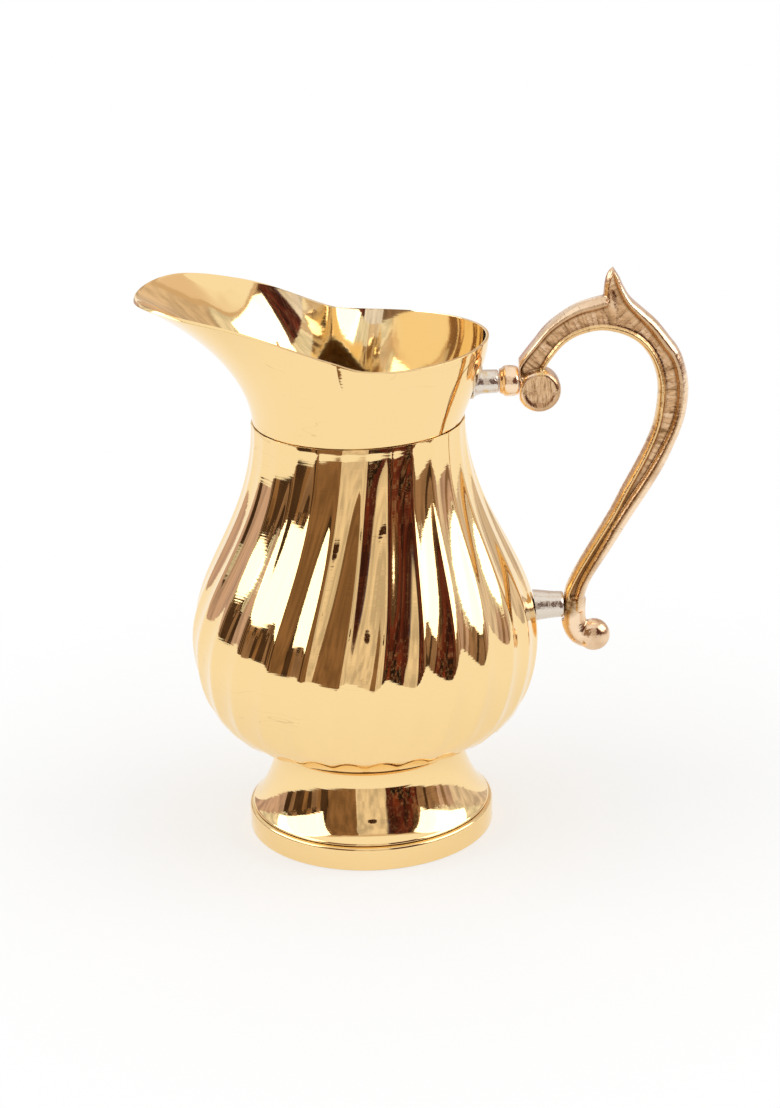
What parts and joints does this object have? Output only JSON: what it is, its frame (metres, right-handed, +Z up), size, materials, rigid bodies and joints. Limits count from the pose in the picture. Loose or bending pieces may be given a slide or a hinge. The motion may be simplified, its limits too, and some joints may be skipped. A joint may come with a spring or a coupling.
{
  "type": "brass jug",
  "caption": "Brass pouring jug with a swirl-fluted pear-shaped bowl, wide raised spout, turned foot with a rim band, and a cast scroll handle with a thumb spur held on short posts.",
  "frame": {"origin": "middle of the whole jug's width and depth, on the plane it stands on; the bowl's axis is at x = -21.64 mm", "axes": "+Z up along the bowl's axis, -X towards the spout, +X towards the handle, and Y across the jug"},
  "size_m": [0.2068, 0.134, 0.2216],
  "materials": {
    "polished_brass": "mirror polished, with fine lathe lines and light scratches",
    "turned_brass": "turned on a lathe, polished, worn at the edge",
    "cast_brass": "sand cast, filed and buffed, dull in the grooves",
    "tinned_brass": "silvery solder over brass, pitted"
  },
  "bodies": {
    "root": {"fluted_bowl": "polished_brass", "neck_and_spout": "polished_brass", "foot": "polished_brass", "foot_rim_band": "turned_brass", "handle": "cast_brass", "upper_post": "tinned_brass", "upper_post_collar": "cast_brass", "lower_post": "tinned_brass"}
  },
  "joints": []
}
